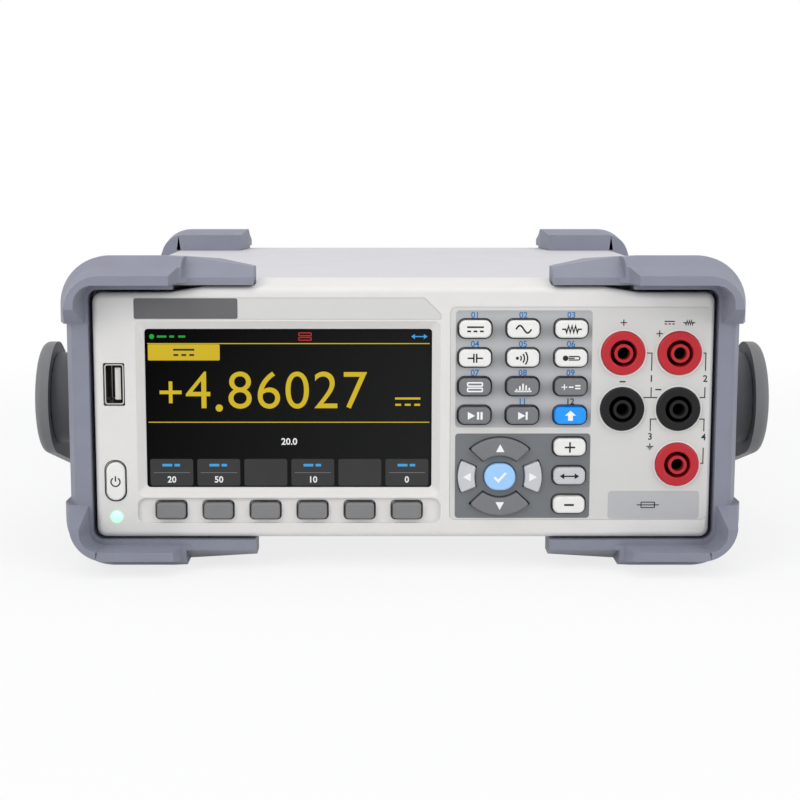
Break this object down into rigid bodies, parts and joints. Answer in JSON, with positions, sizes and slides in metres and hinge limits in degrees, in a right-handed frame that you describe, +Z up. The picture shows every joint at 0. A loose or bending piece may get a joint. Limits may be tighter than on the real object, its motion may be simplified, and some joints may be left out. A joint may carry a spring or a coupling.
{
  "type": "bench multimeter",
  "caption": "Half-rack bench multimeter with colour display, rubber keys, shrouded front input jacks, corner bumpers and a swinging carry handle.",
  "frame": {"origin": "centre of the footprint, on the surface that the bumpers stand on", "axes": "+X to the instrument's right as its user sees it, +Y to the rear, +Z up"},
  "size_m": [0.2604, 0.2958, 0.1072],
  "materials": {
    "case_paint": "fine textured light grey paint",
    "tray_steel": "plated sheet",
    "rear_paint": "fine textured light grey paint",
    "screw_steel": "plated",
    "bezel_plastic": "satin warm light grey",
    "film": "satin printed film",
    "window": "glossy black window",
    "lcd_frame": "matt black",
    "port_steel": "plated steel",
    "led": "lit green",
    "jack_red": "satin red",
    "jack_black": "satin black",
    "contact_brass": "plated brass",
    "bumper_rubber": "matt blue-grey elastomer",
    "handle_plastic": "matt dark grey",
    "grip": "matt dark grey soft grip",
    "inlet_plastic": "matt black",
    "selector_red": "matt red",
    "connector_metal": "nickel plated",
    "board": "green laminate",
    "transformer_iron": "varnished laminations",
    "soft_key": "mid grey silicone",
    "key_white": "white silicone",
    "key_grey": "dark grey silicone",
    "key_light": "light grey silicone",
    "key_blue": "lit blue",
    "key_ok": "light blue silicone"
  },
  "bodies": {
    "case": {"top_cover": "case_paint", "chassis_tray": "tray_steel", "rear_panel": "rear_paint", "panel_screws": "screw_steel", "front_bezel": "bezel_plastic", "label_films": "film", "display_window": "window", "lcd_module": "lcd_frame", "usb_host_port": "port_steel", "power_led": "led", "jack_sense_high": "jack_red", "jack_sense_low": "jack_black", "jack_input_high": "jack_red", "jack_input_low": "jack_black", "jack_current": "jack_red", "jack_contacts": "contact_brass", "front_bumper_left": "bumper_rubber", "front_bumper_right": "bumper_rubber", "rear_bumper_left": "bumper_rubber", "rear_bumper_right": "bumper_rubber", "handle_hubs": "handle_plastic", "mains_inlet": "inlet_plastic", "selector_body": "inlet_plastic", "rear_connectors": "connector_metal", "front_board": "board", "main_board": "board", "transformer": "transformer_iron"},
    "handle": {"handle_arm_left": "handle_plastic", "handle_arm_right": "handle_plastic", "handle_grip": "grip"},
    "fuse_drawer": {"fuse_drawer": "inlet_plastic"},
    "voltage_selector": {"voltage_selector": "selector_red"},
    "input_fuse_cap": {"input_fuse_cap": "inlet_plastic"},
    "soft_key_1": {"soft_key_1": "soft_key"},
    "soft_key_2": {"soft_key_2": "soft_key"},
    "soft_key_3": {"soft_key_3": "soft_key"},
    "soft_key_4": {"soft_key_4": "soft_key"},
    "soft_key_5": {"soft_key_5": "soft_key"},
    "soft_key_6": {"soft_key_6": "soft_key"},
    "function_key_01": {"function_key_01": "key_white"},
    "function_key_02": {"function_key_02": "key_white"},
    "function_key_03": {"function_key_03": "key_white"},
    "function_key_04": {"function_key_04": "key_white"},
    "function_key_05": {"function_key_05": "key_white"},
    "function_key_06": {"function_key_06": "key_white"},
    "function_key_07": {"function_key_07": "key_grey"},
    "function_key_08": {"function_key_08": "key_grey"},
    "function_key_09": {"function_key_09": "key_grey"},
    "function_key_10": {"function_key_10": "key_grey"},
    "function_key_11": {"function_key_11": "key_grey"},
    "function_key_12": {"function_key_12": "key_blue"},
    "key_up": {"key_up": "key_grey"},
    "key_down": {"key_down": "key_grey"},
    "key_left": {"key_left": "key_light"},
    "key_right": {"key_right": "key_light"},
    "key_ok": {"key_ok": "key_ok"},
    "key_plus": {"key_plus": "key_white"},
    "key_range": {"key_range": "key_light"},
    "key_minus": {"key_minus": "key_white"},
    "power_button": {"power_button": "key_white"}
  },
  "joints": [
    {"name": "handle_swing", "type": "hinge", "parent": "case", "child": "handle", "pos_m": [0, -0.09185, 0.0536], "axis": [-1, 0, 0], "range_deg": [0, 308]},
    {"name": "fuse_drawer_slide", "type": "slide", "parent": "case", "child": "fuse_drawer", "axis": [0, 1, 0], "range_m": [0, 0.02]},
    {"name": "voltage_selector_slide", "type": "slide", "parent": "case", "child": "voltage_selector", "axis": [1, 0, 0], "range_m": [0, 0.0048]},
    {"name": "input_fuse_cap_twist", "type": "hinge", "parent": "case", "child": "input_fuse_cap", "pos_m": [0.0385, 0.13515, 0.0356], "axis": [0, 1, 0], "range_deg": [0, 60]},
    {"name": "soft_key_1_press", "type": "slide", "parent": "case", "child": "soft_key_1", "axis": [0, 1, 0], "range_m": [0, 0.0012], "stiffness_N_per_m": 800},
    {"name": "soft_key_2_press", "type": "slide", "parent": "case", "child": "soft_key_2", "axis": [0, 1, 0], "range_m": [0, 0.0012], "stiffness_N_per_m": 800},
    {"name": "soft_key_3_press", "type": "slide", "parent": "case", "child": "soft_key_3", "axis": [0, 1, 0], "range_m": [0, 0.0012], "stiffness_N_per_m": 800},
    {"name": "soft_key_4_press", "type": "slide", "parent": "case", "child": "soft_key_4", "axis": [0, 1, 0], "range_m": [0, 0.0012], "stiffness_N_per_m": 800},
    {"name": "soft_key_5_press", "type": "slide", "parent": "case", "child": "soft_key_5", "axis": [0, 1, 0], "range_m": [0, 0.0012], "stiffness_N_per_m": 800},
    {"name": "soft_key_6_press", "type": "slide", "parent": "case", "child": "soft_key_6", "axis": [0, 1, 0], "range_m": [0, 0.0012], "stiffness_N_per_m": 800},
    {"name": "function_key_01_press", "type": "slide", "parent": "case", "child": "function_key_01", "axis": [0, 1, 0], "range_m": [0, 0.0012], "stiffness_N_per_m": 800},
    {"name": "function_key_02_press", "type": "slide", "parent": "case", "child": "function_key_02", "axis": [0, 1, 0], "range_m": [0, 0.0012], "stiffness_N_per_m": 800},
    {"name": "function_key_03_press", "type": "slide", "parent": "case", "child": "function_key_03", "axis": [0, 1, 0], "range_m": [0, 0.0012], "stiffness_N_per_m": 800},
    {"name": "function_key_04_press", "type": "slide", "parent": "case", "child": "function_key_04", "axis": [0, 1, 0], "range_m": [0, 0.0012], "stiffness_N_per_m": 800},
    {"name": "function_key_05_press", "type": "slide", "parent": "case", "child": "function_key_05", "axis": [0, 1, 0], "range_m": [0, 0.0012], "stiffness_N_per_m": 800},
    {"name": "function_key_06_press", "type": "slide", "parent": "case", "child": "function_key_06", "axis": [0, 1, 0], "range_m": [0, 0.0012], "stiffness_N_per_m": 800},
    {"name": "function_key_07_press", "type": "slide", "parent": "case", "child": "function_key_07", "axis": [0, 1, 0], "range_m": [0, 0.0012], "stiffness_N_per_m": 800},
    {"name": "function_key_08_press", "type": "slide", "parent": "case", "child": "function_key_08", "axis": [0, 1, 0], "range_m": [0, 0.0012], "stiffness_N_per_m": 800},
    {"name": "function_key_09_press", "type": "slide", "parent": "case", "child": "function_key_09", "axis": [0, 1, 0], "range_m": [0, 0.0012], "stiffness_N_per_m": 800},
    {"name": "function_key_10_press", "type": "slide", "parent": "case", "child": "function_key_10", "axis": [0, 1, 0], "range_m": [0, 0.0012], "stiffness_N_per_m": 800},
    {"name": "function_key_11_press", "type": "slide", "parent": "case", "child": "function_key_11", "axis": [0, 1, 0], "range_m": [0, 0.0012], "stiffness_N_per_m": 800},
    {"name": "function_key_12_press", "type": "slide", "parent": "case", "child": "function_key_12", "axis": [0, 1, 0], "range_m": [0, 0.0012], "stiffness_N_per_m": 800},
    {"name": "key_up_press", "type": "slide", "parent": "case", "child": "key_up", "axis": [0, 1, 0], "range_m": [0, 0.0012], "stiffness_N_per_m": 800},
    {"name": "key_down_press", "type": "slide", "parent": "case", "child": "key_down", "axis": [0, 1, 0], "range_m": [0, 0.0012], "stiffness_N_per_m": 800},
    {"name": "key_left_press", "type": "slide", "parent": "case", "child": "key_left", "axis": [0, 1, 0], "range_m": [0, 0.0012], "stiffness_N_per_m": 800},
    {"name": "key_right_press", "type": "slide", "parent": "case", "child": "key_right", "axis": [0, 1, 0], "range_m": [0, 0.0012], "stiffness_N_per_m": 800},
    {"name": "key_ok_press", "type": "slide", "parent": "case", "child": "key_ok", "axis": [0, 1, 0], "range_m": [0, 0.0012], "stiffness_N_per_m": 800},
    {"name": "key_plus_press", "type": "slide", "parent": "case", "child": "key_plus", "axis": [0, 1, 0], "range_m": [0, 0.0012], "stiffness_N_per_m": 800},
    {"name": "key_range_press", "type": "slide", "parent": "case", "child": "key_range", "axis": [0, 1, 0], "range_m": [0, 0.0012], "stiffness_N_per_m": 800},
    {"name": "key_minus_press", "type": "slide", "parent": "case", "child": "key_minus", "axis": [0, 1, 0], "range_m": [0, 0.0012], "stiffness_N_per_m": 800},
    {"name": "power_button_press", "type": "slide", "parent": "case", "child": "power_button", "axis": [0, 1, 0], "range_m": [0, 0.0012], "stiffness_N_per_m": 800}
  ]
}
